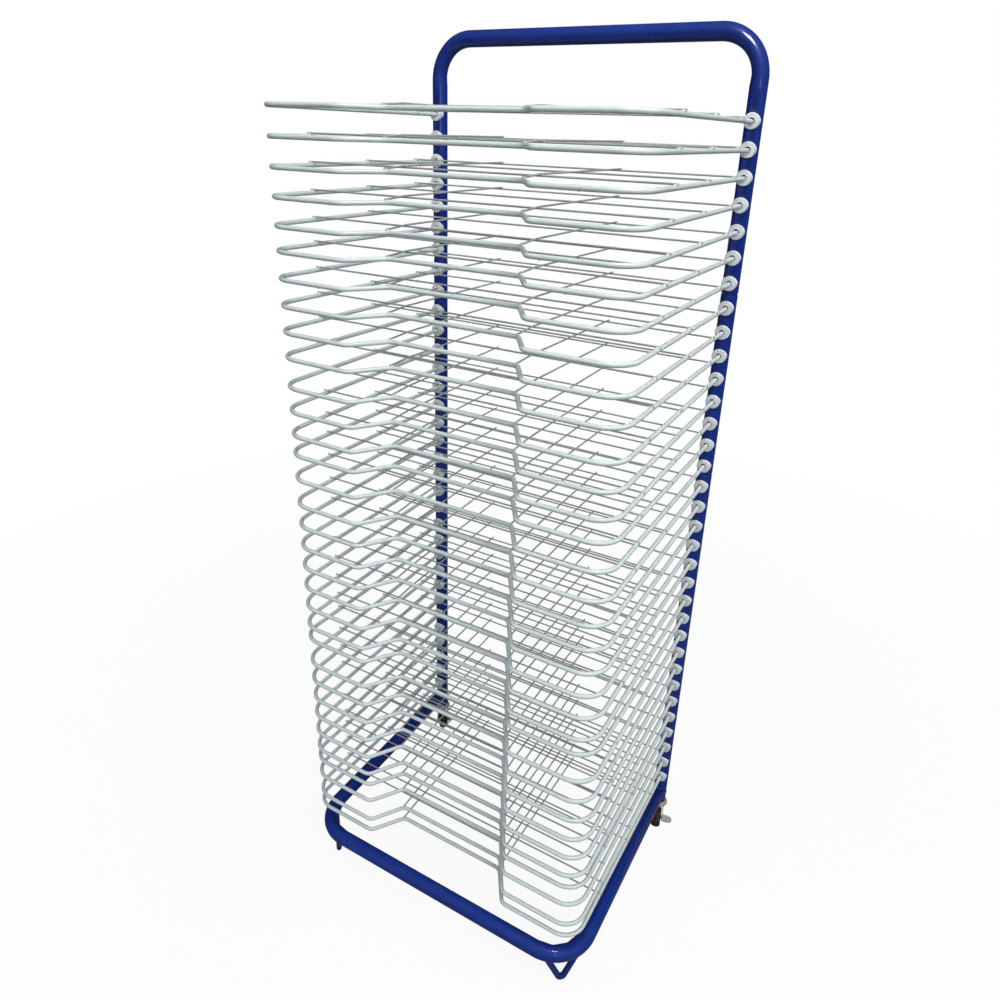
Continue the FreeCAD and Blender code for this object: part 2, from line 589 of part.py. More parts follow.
def all_nodes():
    """Every node's name and shape, in place."""
    nodes = {"top_hoop": top_hoop(), "joint_spigots": joint_spigots(), "base_loop": base_loop()}
    for name, side in SIDES.items():
        nodes[name + "_middle_upright"] = middle_upright(side)
        nodes[name + "_lower_upright"] = lower_upright(side)
        nodes[name + "_front_foot"] = front_foot(side)
    nodes["front_bushes"] = at_every_hole(front_bush(), 0)
    nodes["rear_caps"] = at_every_hole(rear_cap(), ROD_SIT)
    for number in range(1, TRAY_COUNT + 1):
        tray = wire_tray(tray_lean(number))
        tray.translate(UP * (tray_z(number) - ROD_SIT))
        nodes["tray_%02d" % number] = tray
    for piece_name, make in CASTOR_PIECES.items():
        piece = make()
        for side_name in SIDES:
            node = "%s_castor_%s" % (side_name, piece_name)
            nodes[node] = placed_castor_piece(piece, side_name)
    return nodes


os.makedirs("parts", exist_ok=True)
for node_name, node_shape in all_nodes().items():
    node_shape.exportStep("parts/%s.step" % node_name)
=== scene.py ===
import json
import math

import bmesh
import bpy
from mathutils import Matrix, Vector


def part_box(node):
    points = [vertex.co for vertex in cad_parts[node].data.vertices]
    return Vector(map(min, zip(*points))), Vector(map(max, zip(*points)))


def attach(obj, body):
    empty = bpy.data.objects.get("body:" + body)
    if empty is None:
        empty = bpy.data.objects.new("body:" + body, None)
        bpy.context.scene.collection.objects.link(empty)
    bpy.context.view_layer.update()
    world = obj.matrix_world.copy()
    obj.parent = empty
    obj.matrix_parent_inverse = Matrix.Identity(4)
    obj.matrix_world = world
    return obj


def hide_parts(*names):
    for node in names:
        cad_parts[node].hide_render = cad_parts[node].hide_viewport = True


# Art drying rack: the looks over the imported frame. Metres, +Z up, the front towards -Y.

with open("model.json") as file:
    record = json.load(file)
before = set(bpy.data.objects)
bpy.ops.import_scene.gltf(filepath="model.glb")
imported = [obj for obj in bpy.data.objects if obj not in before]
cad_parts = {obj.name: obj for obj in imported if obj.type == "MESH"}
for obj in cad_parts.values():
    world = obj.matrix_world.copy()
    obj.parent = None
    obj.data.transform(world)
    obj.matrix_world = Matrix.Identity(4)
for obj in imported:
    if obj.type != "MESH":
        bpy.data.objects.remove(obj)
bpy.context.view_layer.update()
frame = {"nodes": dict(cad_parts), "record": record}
nodes = frame["nodes"]
MM = 0.001
UP = Vector((0, 0, 1))

# --- sizes that the dressing follows, taken from the frame or named here ---------------------

upright_low, upright_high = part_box("right_lower_upright")
hoop_low, hoop_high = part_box("top_hoop")
base_low, base_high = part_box("base_loop")

SIDES = {"left": -1, "right": 1}

# the frame's tubes
TUBE_R = (upright_high.x - upright_low.x) / 2
UPRIGHT_X = (upright_high.x + upright_low.x) / 2
HANDLE_Z = hoop_high.z - TUBE_R
BASE_Z = (base_low.z + base_high.z) / 2
BASE_FRONT_Y = base_low.y + TUBE_R
BASE_END_Y = -0.6 * MM         # the base's open ends, buried in the uprights' fronts
HOOP_BEND_R = 60.0 * MM
HOOP_END_LIP = 1.2 * MM        # the rounding of the hoop's open ends
BASE_BEND_R = 64.0 * MM
BEND_STEP = math.radians(3)
BEND_EASE = 9.0 * MM           # how far along the straight runs a bend's press reaches
EASE_STEPS = 6
HOOP_PRESS = 0.12              # how far the hoop's inner wall is drawn in, as a share of the radius
HOOP_PRESS_BEFORE = 0.45       # the share of it that comes before the bend's start
HOOP_KINK_ANGLE = math.radians(8.6)
HOOP_EASE_FROM = math.radians(35)
# the kinks of the base's inner wall: degrees round a bend from the side bar, and the radius there
BASE_KINKS = [(-8, 64.0 * MM), (13, 62.4 * MM), (38, 64.4 * MM), (64, 65.2 * MM), (90, 64.0 * MM)]
PRESS_TO_OUTER = 6             # the outer wall gives by a sixth of the inner wall's press
PRESS_TO_SIDES = 0.2           # and the tube widens across its plane by a fifth of it

# bushes and caps
HOOP_TRAYS = 7
BUSH_HOLE_R = 5.7 * MM
CAP_HOLE_R = 4.7 * MM
CUT_APART = 0.1 * MM           # keeps the cuts for a bush and a cap from touching
BUSH_BORE_R = 4.35 * MM
BUSH_FACE_Y = -15.1 * MM
BUSH_LIP_R = 0.35 * MM
BUSH_LIP_OUT = 0.4 * MM
ROD_SIT = 0.85 * MM            # an arm lies this far under its bush's middle
CAP_TOP_Y = 15.9 * MM
GATE_R = 1.1 * MM
GATE_RISE = 0.05 * MM

# feet and weld beads
FOOT_ROD_R = 5.0 * MM
FOOT_HALF_SPREAD = 35.0 * MM
FOOT_BEND_R = 6.0 * MM
FOOT_BEAD_R = 1.3 * MM
FOOT_BEAD_OUT = 0.2 * MM
FOOT_BEAD_PITCH = 2.0 * MM
FOOT_SEARCH = 30 * MM          # how far down a leg its bead is looked for
FOOT_HALVINGS = 24
BASE_BEAD_R = 1.7 * MM
BASE_BEAD_OUT = 0.3 * MM
BASE_BEAD_PITCH = 2.4 * MM
BEAD_RIPPLE = 0.22
BEAD_FLATNESS = 0.8

# trays
RIM_R = 3.2 * MM
WIRE_R = 1.25 * MM
WELD_SINK = 0.3 * MM
ALL_TRAYS = range(1, 34)
TRAY_REACH = 413.0 * MM
LEAN_REACH = 24.0 * MM
NOTCH_REACH = 360.5 * MM
NOTCH_X = 99.5 * MM
CROSS_REACHES = [70.0 * MM, 193.5 * MM, 317.0 * MM]
CROSS_END = 4.4 * MM
LONG_END = 3.5 * MM
CROSS_Z = RIM_R + WIRE_R - WELD_SINK
LONG_Z = CROSS_Z + 2 * WIRE_R - WELD_SINK
THIN_FROM_Z = RIM_R - 1.2 * WELD_SINK       # a face from here up may be a thin wire's
WIRE_NEAR = 1.02 * WIRE_R                   # and is, where it is this near to a wire's axis

# half sizes of the pillows on a tray, across, front to back and up
ARM_WELD = (2.9 * MM, 2.7 * MM, 1.3 * MM)       # a cross wire on an arm
CROSS_COAT = (3.6 * MM, 1.75 * MM, 1.5 * MM)    # the coating round that cross wire
LONG_WELD = (1.9 * MM, 1.9 * MM, 0.9 * MM)      # a long wire on a cross wire
NOTCH_WELD = (2.2 * MM, 3.0 * MM, 1.3 * MM)     # a long wire on the notch
DRIP = (1.5 * MM, 1.5 * MM, 0.9 * MM)
WELD_DEPTH = 0.1 * MM          # how far inside the rim's surface a pillow's middle lies
COAT_OUT = 1.3 * MM
COAT_DOWN = 0.5 * MM
WIRE_END = (0.98 * WIRE_R, 0.5 * MM)            # radius and rise of a wire's coated end
# a drip's place along the rim: its middle and swing as shares, and the swing's turn from tray to tray
DRIP_MIDDLE, DRIP_SWING, DRIP_TURN = 0.55, 0.4, 2.3
DRIP_SPAN = 0.6
DRIP_START_X = 150.0 * MM      # past the notch's bends

# castors
WHEEL_R = 20.0 * MM
WHEEL_HALF = 9.0 * MM
SHOULDER_POWER = 2.1
GROOVE_DEPTH = 0.25 * MM
GROOVE_TOP = 0.35 * MM
GROOVE_FLOOR = 0.15 * MM
HUB_R = 14.5 * MM
HUB_RIM_R = 12.1 * MM
HUB_BOSS_R = 7.5 * MM
HUB_RECESS = 1.6 * MM
RIB_COUNT = 8
RIB_HALF = 0.55 * MM
RIB_SINK = 0.3 * MM            # how far a rib's ends go into the boss and the rim
RIB_ROOT = 0.2 * MM            # how far its foot goes into the recess's floor
RIB_UNDER_FACE = 0.3 * MM
RIB_TAPER = 0.2 * MM
RIB_TOP_SHARE = 0.7
TRAIL = 16.0 * MM
LEVER_Y = 12.3 * MM
LEVER_T = 1.5 * MM
LEVER_LIP_R = 0.8 * MM
LEVER_LIP_TALL = 1.25          # the lip's height over its width
TAB_X = 28.0 * MM
TAB_Z = 32.0 * MM
TAB_R = 8.0 * MM
TAB_END_Y = 22.3 * MM
SWIVEL_REST = {"left": math.radians(-50), "right": math.radians(-77)}

# how many places make up a ring or an arc
TUBE_AROUND, TYRE_AROUND, HOLE_AROUND, BUSH_AROUND = 64, 72, 32, 28
DOME_AROUND, LEVER_LIP_AROUND, BEAD_AROUND, BUSH_LIP_AROUND = 12, 12, 10, 8
BASE_BEAD_STEPS, FOOT_BEAD_STEPS, TYRE_STEPS, TAB_STEPS = 120, 48, 28, 24
HOOP_LIP_STEPS, DOME_STEPS = 5, 3

# the camera, solved from the photo: place in metres, turns in radians, lens in millimetres
CAMERA_PLACE = (0.54096, -1.17076, 1.2888)
CAMERA_YAW, CAMERA_PITCH, CAMERA_ROLL = 0.5066, -0.3908, 0.0328
CAMERA_LENS, CAMERA_SENSOR = 27.445, 36.0
CAMERA_SHIFT_X, CAMERA_SHIFT_Y = -0.0091, -0.0546


# --- node helpers ----------------------------------------------------------------------------


class Nodes:
    """Short calls that add nodes to the tree of a material or of the world."""

    def __init__(self, tree):
        self.tree = tree

    def add(self, kind, **settings):
        node = self.tree.nodes.new(kind)
        for key, value in settings.items():
            setattr(node, key, value)
        return node

    def set(self, node, socket, value):
        """A value or another node's output on a socket."""
        if isinstance(value, bpy.types.NodeSocket):
            self.tree.links.new(value, node.inputs[socket])
        else:
            node.inputs[socket].default_value = value

    def ramp(self, value, low, high, start=0.0, end=1.0, shape="LINEAR"):
        """value from low to high becomes start to end, held past both."""
        node = self.add("ShaderNodeMapRange", clamp=True, interpolation_type=shape)
        self.set(node, "Value", value)
        for socket, number in (("From Min", low), ("From Max", high), ("To Min", start), ("To Max", end)):
            self.set(node, socket, number)
        return node.outputs["Result"]

    def math(self, operation, a, b=0.0):
        node = self.add("ShaderNodeMath", operation=operation)
        self.set(node, 0, a)
        self.set(node, 1, b)
        return node.outputs["Value"]

    def mix_shader(self, factor, a, b):
        """Shader a where factor is 0, b where it is 1."""
        node = self.add("ShaderNodeMixShader")
        for index, value in enumerate((factor, a, b)):
            self.set(node, index, value)
        return node.outputs[0]


class Shader(Nodes):
    """A material with a Principled shader, and the nodes that feed it."""

    def __init__(self, name, color, rough, metallic=0.0, specular=0.5):
        self.material = bpy.data.materials.new(name)
        self.material.use_nodes = True
        super().__init__(self.material.node_tree)
        self.surface = self.tree.nodes["Principled BSDF"]
        self.set(self.surface, "Base Color", (*color, 1))
        self.set(self.surface, "Roughness", rough)
        self.set(self.surface, "Metallic", metallic)
        self.set(self.surface, "Specular IOR Level", specular)
        self.place = self.add("ShaderNodeTexCoord").outputs["Object"]
        self.bumps = []

    def stretched(self, x, y, z):
        """The place, scaled by axis, for streaks."""
        node = self.add("ShaderNodeMapping")
        self.set(node, "Vector", self.place)
        self.set(node, "Scale", (x, y, z))
        return node.outputs["Vector"]

    def noise(self, scale, detail=3.0, rough=0.5, place=None):
        node = self.add("ShaderNodeTexNoise")
        self.set(node, "Vector", place or self.place)
        self.set(node, "Scale", scale)
        self.set(node, "Detail", detail)
        self.set(node, "Roughness", rough)
        return node.outputs["Fac"]

    def cells(self, scale):
        node = self.add("ShaderNodeTexVoronoi")
        self.set(node, "Vector", self.place)
        self.set(node, "Scale", scale)
        return node.outputs["Distance"]

    def z_of(self, vector):
        node = self.add("ShaderNodeSeparateXYZ")
        self.set(node, "Vector", vector)
        return node.outputs["Z"]

    def normal_z(self):
        """How far a surface faces up."""
        return self.z_of(self.add("ShaderNodeNewGeometry").outputs["Normal"])

    def mix(self, factor, a, b):
        node = self.add("ShaderNodeMix", data_type="RGBA")
        self.set(node, "Factor", factor)
        for index, value in ((6, a), (7, b)):
            self.set(node, index, (*value, 1) if isinstance(value, tuple) else value)
        return node.outputs[2]

    def color(self, value):
        self.set(self.surface, "Base Color", value)

    def rough(self, value):
        self.set(self.surface, "Roughness", value)

    def bump(self, height, distance):
        """Adds to the surface's bump; distance is the height's depth in metres."""
        node = self.add("ShaderNodeBump")
        self.set(node, "Height", height)
        self.set(node, "Distance", distance)
        self.set(node, "Strength", 1.0)
        if self.bumps:
            self.set(node, "Normal", self.bumps[-1])
        self.bumps.append(node.outputs["Normal"])
        self.set(self.surface, "Normal", self.bumps[-1])


# --- materials -------------------------------------------------------------------------------


def frame_paint():
    """Gloss blue powder coat: faint orange peel, dust on top and hair scratches."""
    m = Shader("blue_powder_coat", (0.007, 0.028, 0.24), 0.30, specular=0.22)
    broad = m.ramp(m.noise(3.0, 2.0), 0.3, 0.7)
    blue = m.mix(broad, (0.0055, 0.025, 0.215), (0.0075, 0.032, 0.26))
    speck = m.ramp(m.noise(900.0, 2.0), 0.66, 0.74)
    dust = m.math("MULTIPLY", m.ramp(m.normal_z(), 0.3, 1.0), m.ramp(m.noise(60.0, 5.0), 0.45, 0.75))
    blue = m.mix(m.math("MULTIPLY", dust, 0.02), blue, (0.35, 0.37, 0.42))
    blue = m.mix(m.math("MULTIPLY", speck, 0.04), blue, (0.05, 0.10, 0.42))
    scratch = m.ramp(m.noise(5.0, 2.0, place=m.stretched(260, 260, 9)), 0.71, 0.74)
    blue = m.mix(m.math("MULTIPLY", scratch, 0.08), blue, (0.10, 0.14, 0.40))
    # the feet are rubbed to the steel where they slide over the floor
    height = m.math("ADD", m.z_of(m.place), m.math("MULTIPLY", m.noise(260.0, 3.0), 0.003))
    worn = m.ramp(height, 0.0016, 0.0032, 1.0, 0.0)
    m.color(m.mix(m.math("MULTIPLY", worn, 0.8), blue, (0.16, 0.15, 0.14)))
    rough = m.ramp(m.noise(35.0, 4.0), 0.3, 0.7, 0.26, 0.34)
    rough = m.math("ADD", rough, m.math("MULTIPLY", dust, 0.08))
    rough = m.math("ADD", rough, m.math("MULTIPLY", worn, 0.25))
    m.rough(m.math("ADD", rough, m.math("MULTIPLY", scratch, 0.12)))
    m.bump(m.noise(420.0, 2.0), 0.00003)
    m.bump(m.noise(55.0, 2.0), 0.00006)
    m.set(m.surface, "Coat Weight", 0.75)
    m.set(m.surface, "Coat Roughness", 0.045)
    return m.material


def tray_coating(name, light, dark):
    """Dipped plastic: soft gloss, slightly uneven, with a little grey dirt and yellowing."""
    m = Shader(name, light, 0.36, specular=0.42)
    white = m.mix(m.ramp(m.noise(9.0, 3.0), 0.3, 0.7), dark, light)
    dirt = m.ramp(m.noise(130.0, 6.0, 0.6), 0.56, 0.78)
    white = m.mix(m.math("MULTIPLY", dirt, 0.14), white, (0.36, 0.37, 0.36))
    yellowing = m.ramp(m.noise(22.0, 4.0), 0.55, 0.8)
    m.color(m.mix(m.math("MULTIPLY", yellowing, 0.08), white, (0.62, 0.60, 0.47)))
    m.rough(m.ramp(m.noise(160.0, 3.0), 0.3, 0.75, 0.28, 0.44))
    m.bump(m.noise(240.0, 2.0), 0.00010)
    m.bump(m.noise(1500.0, 2.0), 0.00002)
    return m.material


def moulded_plastic(name, light, dark, rough):
    """Satin moulded plastic with slow colour changes, fine grain and rubbed-in dirt."""
    m = Shader(name, light, rough, specular=0.4)
    tone = m.mix(m.ramp(m.noise(45.0, 4.0), 0.35, 0.7), light, dark)
    grime = m.ramp(m.noise(500.0, 5.0, 0.65), 0.58, 0.8)
    m.color(m.mix(m.math("MULTIPLY", grime, 0.25), tone, tuple(0.45 * c for c in dark)))
    m.rough(m.ramp(m.noise(300.0, 3.0), 0.3, 0.7, rough - 0.06, rough + 0.08))
    m.bump(m.noise(1600.0, 2.0), 0.00004)
    m.bump(m.noise(180.0, 2.0), 0.00008)
    return m.material


def plated_steel(name, light, dark, rough, stain):
    """Zinc plate on pressed steel: cloudy, slightly stained and finely drawn."""
    m = Shader(name, light, rough, metallic=0.35)
    cloud = m.ramp(m.noise(180.0, 4.0, 0.6), 0.35, 0.68)
    zinc = m.mix(cloud, dark, light)
    spots = m.ramp(m.noise(420.0, 6.0, 0.7), 0.6, 0.75)
    m.color(m.mix(m.math("MULTIPLY", spots, 0.5), zinc, stain))
    m.rough(m.ramp(m.noise(260.0, 4.0), 0.3, 0.7, rough - 0.08, rough + 0.14))
    m.bump(m.noise(5.0, 3.0, place=m.stretched(120, 900, 900)), 0.00004)
    m.bump(m.cells(700.0), 0.00003)
    return m.material


def tread_rubber():
    """Brown-black tread, greyed with floor dust."""
    m = Shader("tread_rubber", (0.035, 0.020, 0.014), 0.58, specular=0.3)
    tone = m.mix(m.ramp(m.noise(120.0, 4.0), 0.35, 0.7), (0.026, 0.014, 0.010), (0.050, 0.029, 0.020))
    dust = m.ramp(m.noise(700.0, 6.0, 0.7), 0.5, 0.8)
    m.color(m.mix(m.math("MULTIPLY", dust, 0.14), tone, (0.20, 0.17, 0.14)))
    m.rough(m.ramp(m.noise(300.0, 3.0), 0.3, 0.7, 0.55, 0.78))
    m.bump(m.noise(900.0, 5.0, 0.6), 0.00012)
    return m.material


PAINT = frame_paint()
COATING = tray_coating("rim_coating", (0.665, 0.735, 0.73), (0.605, 0.68, 0.67))
# painted shade: a darker, greyer copy of the rim's coating for the thin wires, standing for the shade that
# makes thin wires look darker
SHADED_THIN_WIRE_COATING = tray_coating("thin_wire_painted_shade_coating", (0.40, 0.43, 0.42), (0.33, 0.36, 0.35))
BUSH = moulded_plastic("bush_plastic", (0.78, 0.81, 0.83), (0.71, 0.745, 0.76), 0.42)
# painted shade: the rear caps are of the bushes' white plastic, and their grey stands for the shade they sit
# in behind the uprights
SHADED_CAP_PLASTIC = moulded_plastic("cap_plastic", (0.42, 0.44, 0.44), (0.34, 0.355, 0.36), 0.45)
SOCKET = moulded_plastic("socket_plastic", (0.035, 0.035, 0.037), (0.022, 0.022, 0.023), 0.5)
HUB = moulded_plastic("hub_plastic", (0.085, 0.062, 0.048), (0.060, 0.044, 0.034), 0.5)
ZINC = plated_steel("castor_zinc", (0.62, 0.57, 0.47), (0.42, 0.385, 0.32), 0.34, (0.20, 0.165, 0.12))
LEVER = plated_steel("lever_zinc", (0.74, 0.74, 0.73), (0.54, 0.54, 0.53), 0.36, (0.19, 0.17, 0.15))
STEEL = plated_steel("bright_steel", (0.66, 0.65, 0.63), (0.48, 0.47, 0.46), 0.28, (0.25, 0.22, 0.19))
TREAD = tread_rubber()

SLOT_MATERIALS = {
    "frame_paint": PAINT,
    "tray_coating": COATING,
    "bush_plastic": BUSH,
    "cap_plastic": SHADED_CAP_PLASTIC,
    "castor_zinc": ZINC,
    "lever_zinc": LEVER,
    "bright_steel": STEEL,
    "hub_plastic": HUB,
    "tread_rubber": TREAD,
    "socket_plastic": SOCKET,
}


def dress_cad_nodes():
    """Gives every node of the frame the material of its slot."""
    for part in frame["record"]["subparts"]:
        mesh = nodes[part["node"]].data
        mesh.materials.clear()
        mesh.materials.append(SLOT_MATERIALS[part["material_slot"]])


# --- mesh helpers ----------------------------------------------------------------------------


def circle(count, back=False):
    """The angles of count places round a circle; back adds the first place again at the end."""
    return [2 * math.pi * i / count for i in range(count + back)]


def link(name, data):
    """A new object in the scene."""
    thing = bpy.data.objects.new(name, data)
    bpy.context.scene.collection.objects.link(thing)
    return thing


def mesh_from(bm, name):
    """A mesh of the bmesh's faces. Frees the bmesh."""
    mesh = bpy.data.meshes.new(name)
    bm.to_mesh(mesh)
    bm.free()
    return mesh


def new_piece(name, bm, material, body, smooth=True):
    """A mesh piece from a bmesh, riding on a body."""
    bmesh.ops.recalc_face_normals(bm, faces=bm.faces[:])
    mesh = mesh_from(bm, name)
    for face in mesh.polygons:
        face.use_smooth = smooth
    mesh.materials.append(material)
    piece = link(name, mesh)
    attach(piece, body)
    return piece


def add_rings(bm, rings, ends="closed"):
    """Faces between rings of points, each ring a closed loop.

    The two ends are closed with a face each, left open, or joined to each other."""
    loops = [[bm.verts.new(point) for point in ring] for ring in rings]
    after = loops[1:] + loops[:1] if ends == "joined" else loops[1:]
    for a, b in zip(loops, after):
        for i in range(len(a)):
            j = (i + 1) % len(a)
            bm.faces.new((a[i], a[j], b[j], b[i]))
    if ends == "closed":
        bm.faces.new(loops[0])
        bm.faces.new(loops[-1][::-1])
    return loops


def add_dome(bm, centre, way, radius, rise):
    """A shallow dome on a disc, facing way."""
    way = way.normalized()
    across = way.orthogonal().normalized()
    other = way.cross(across)
    rings = []
    for step in range(DOME_STEPS):
        tilt = math.pi / 2 * step / DOME_STEPS
        ring_r, height = radius * math.cos(tilt), rise * math.sin(tilt)
        rings.append([centre + way * height + across * ring_r * math.cos(t) + other * ring_r * math.sin(t)
                      for t in circle(DOME_AROUND)])
    loops = add_rings(bm, rings, ends="open")
    tip = bm.verts.new(centre + way * rise)
    last = loops[-1]
    for i in range(DOME_AROUND):
        bm.faces.new((last[i], last[(i + 1) % DOME_AROUND], tip))
    bm.faces.new(loops[0][::-1])


# --- trays -----------------------------------------------------------------------------------


def tray_frame(number):
    """The height of a tray's arms and how far its front leans up, in radians, from its mesh."""
    points = [v.co for v in nodes["tray_%02d" % number].data.vertices]
    arm = [p.z for p in points if p.y > -LEAN_REACH / 2]
    front = [p.z for p in points if p.y < -TRAY_REACH + RIM_R]
    arm_z = (max(arm) + min(arm)) / 2
    front_z = (max(front) + min(front)) / 2
    return arm_z, math.asin((front_z - arm_z) / (TRAY_REACH - LEAN_REACH))


def tray_hinge(number):
    """The place that a tray leans about, and its lean as a turn."""
    arm_z, lean = tray_frame(number)
    return Vector((0, -LEAN_REACH, arm_z)), Matrix.Rotation(-lean, 4, "X")


def arm_places(numbers):
    """Where the arms of some trays meet the uprights: x and z, on both sides."""
    for side in SIDES.values():
        for number in numbers:
            yield side * UPRIGHT_X, tray_frame(number)[0]


def paint_shade_on_thin_wires(number):
    """The thin wires of a tray get a second material, a darker, greyer copy of the rim's coating: painted
    shade, for the darker look that shade gives thin wires.
    """
    hinge, turn = tray_hinge(number)
    back = turn.to_3x3().transposed()
    mesh = nodes["tray_%02d" % number].data
    mesh.materials.append(SHADED_THIN_WIRE_COATING)
    for face in mesh.polygons:
        place = back @ (face.center - hinge)
        reach = LEAN_REACH - place.y
        if place.z < THIN_FROM_Z:
            continue
        near_cross = min(abs(reach - r) for r in CROSS_REACHES) < WIRE_NEAR
        near_long = abs(abs(place.x) - NOTCH_X) < WIRE_NEAR and reach < NOTCH_REACH + LONG_END + WIRE_R
        if near_cross or near_long:
            face.material_index = 1


def tray_details(number):
    """Pillows of weld and coating at every crossing of a tray's wires, coated wire ends and drips."""
    hinge, turn = tray_hinge(number)
    along = turn.to_3x3() @ Vector((0, 1, 0))
    welds = bmesh.new()

    def at(x, reach, z):
        return hinge + turn.to_3x3() @ Vector((x, LEAN_REACH - reach, z))

    def pillow(place, radii):
        """A low pillow round a point, its own radii turned with the tray."""
        made = bmesh.ops.create_icosphere(welds, subdivisions=2, radius=1.0)
        shape = Matrix.Translation(place) @ turn @ Matrix.Diagonal((*radii, 1))
        bmesh.ops.transform(welds, matrix=shape, verts=made["verts"])

    for side in SIDES.values():
        arm_x, long_x = side * UPRIGHT_X, side * NOTCH_X
        for reach in CROSS_REACHES:
            pillow(at(arm_x, reach, RIM_R - WELD_DEPTH), ARM_WELD)
            pillow(at(arm_x + side * COAT_OUT, reach, CROSS_Z - COAT_DOWN), CROSS_COAT)
            add_dome(welds, at(arm_x + side * CROSS_END, reach, CROSS_Z), Vector((side, 0, 0)), *WIRE_END)
            pillow(at(long_x, reach, CROSS_Z + WIRE_R), LONG_WELD)
        pillow(at(long_x, NOTCH_REACH, RIM_R - WELD_DEPTH), NOTCH_WELD)
        add_dome(welds, at(long_x, CROSS_REACHES[0] - LONG_END, LONG_Z), along, *WIRE_END)
        add_dome(welds, at(long_x, NOTCH_REACH + LONG_END, CROSS_Z), -along, *WIRE_END)
        # the dip leaves a drip under the rim, at a place of its own on each tray
        share = DRIP_MIDDLE + DRIP_SWING * math.sin(DRIP_TURN * number + side)
        drip_x = side * (NOTCH_X + share * (UPRIGHT_X - NOTCH_X) * DRIP_SPAN)
        if abs(drip_x) > DRIP_START_X:
            pillow(at(drip_x, TRAY_REACH, -RIM_R + WELD_DEPTH), DRIP)
    new_piece("tray_%02d_welds" % number, welds, COATING, "tray_%02d_body" % number)


def bush_lips():
    """A small moulded ring round the mouth of every front bush."""
    bm = bmesh.new()
    for x, arm_z in arm_places(ALL_TRAYS):
        centre = Vector((x, BUSH_FACE_Y, arm_z + ROD_SIT))
        rings = []
        for turn in circle(BUSH_AROUND):
            out = Vector((math.cos(turn), 0, math.sin(turn)))
            ring_place = centre + out * (BUSH_BORE_R + BUSH_LIP_R + BUSH_LIP_OUT)
            rings.append([ring_place + (out * math.cos(t) + Vector((0, math.sin(t), 0))) * BUSH_LIP_R
                          for t in circle(BUSH_LIP_AROUND)])
        add_rings(bm, rings, ends="joined")
    new_piece("bush_lips", bm, BUSH, "frame")


def cap_gates():
    """The moulding gate's nib in the middle of every rear cap."""
    bm = bmesh.new()
    for x, arm_z in arm_places(ALL_TRAYS):
        add_dome(bm, Vector((x, CAP_TOP_Y - GATE_RISE, arm_z)), Vector((0, 1, 0)), GATE_R, GATE_RISE)
    new_piece("cap_gates", bm, SHADED_CAP_PLASTIC, "frame")


# --- frame tubes -----------------------------------------------------------------------------


def smooth_step(x):
    x = min(1.0, max(0.0, x))
    return x * x * (3 - 2 * x)


def bent_tube_rings(corners, bend_r, inner_wall):
    """Rings of a tube's skin along three straight runs and two equal bends in one plane.

    inner_wall gives how far the pressed inner wall stands from the axis, as a share of the radius,
    at an angle from the end of a bend that joins one of the outer runs. Where it is drawn in, the
    tube is a little wider across the plane."""
    start, first, second, end = corners
    normal = (second - first).cross(end - second).normalized()
    right_angle = math.pi / 2
    turns = round(right_angle / BEND_STEP)
    places = []
    position = start
    for before, corner, after in ((start, first, second), (first, second, end)):
        way_in, way_out = (corner - before).normalized(), (after - corner).normalized()
        arc_start, arc_end = corner - way_in * bend_r, corner + way_out * bend_r
        centre = arc_start + way_out * bend_r

        def wall(angle):
            return inner_wall(angle if corner is first else right_angle - angle)

        for share in (0.0, 0.5):
            places.append((position.lerp(arc_start - way_in * BEND_EASE, share), way_in, 1.0))
        for i in range(EASE_STEPS + 1):
            back = BEND_EASE * (1 - i / EASE_STEPS)
            places.append((arc_start - way_in * back, way_in, wall(-back / bend_r)))
        for i in range(1, turns):
            angle = right_angle * i / turns
            way = way_in * math.cos(angle) + way_out * math.sin(angle)
            outward = way_in * math.sin(angle) - way_out * math.cos(angle)
            places.append((centre + outward * bend_r, way, wall(angle)))
        for i in range(EASE_STEPS + 1):
            past = BEND_EASE * i / EASE_STEPS
            places.append((arc_end + way_out * past, way_out, wall(right_angle + past / bend_r)))
        position = arc_end + way_out * BEND_EASE
    places.append((end, (end - second).normalized(), 1.0))
    rings = []
    for place, way, inner in places:
        inward = normal.cross(way)
        press = max(1 - inner, 0)
        ring = []
        for turn in circle(TUBE_AROUND):
            c, s = math.cos(turn), math.sin(turn)
            reach = inner if c > 0 else 1 - press / PRESS_TO_OUTER
            sideways = normal * TUBE_R * s * (1 + PRESS_TO_SIDES * press)
            ring.append(place + inward * TUBE_R * c * reach + sideways)
        rings.append(ring)
    return rings


def hoop_wall(angle):
    """The hoop's inner wall is drawn in from the upright's end of a bend, and eases out to the bar."""
    before = smooth_step(angle / HOOP_KINK_ANGLE + 1)
    inside = smooth_step(angle / HOOP_KINK_ANGLE)
    eased = 1 - smooth_step((angle - HOOP_EASE_FROM) / (math.pi / 2 - HOOP_EASE_FROM))
    return 1 - HOOP_PRESS * (HOOP_PRESS_BEFORE * before + (1 - HOOP_PRESS_BEFORE) * inside) * eased


def base_wall(angle):
    """The base's inner wall stands out a little at the start of a bend, then has flats between kinks."""
    kinks = [(math.radians(a), r) for a, r in BASE_KINKS]
    if not kinks[0][0] < angle < kinks[-1][0]:
        return 1.0
    for (a, ra), (b, rb) in zip(kinks, kinks[1:]):
        if angle <= b:
            break
    if a < 0:
        reach = ra + (rb - ra) * smooth_step((angle - a) / (b - a))
    else:
        # where the ray at angle meets the chord from kink to kink
        reach = ra * rb * math.sin(b - a) / (ra * math.sin(angle - a) + rb * math.sin(b - angle))
    return 1 + (BASE_BEND_R - reach) / TUBE_R


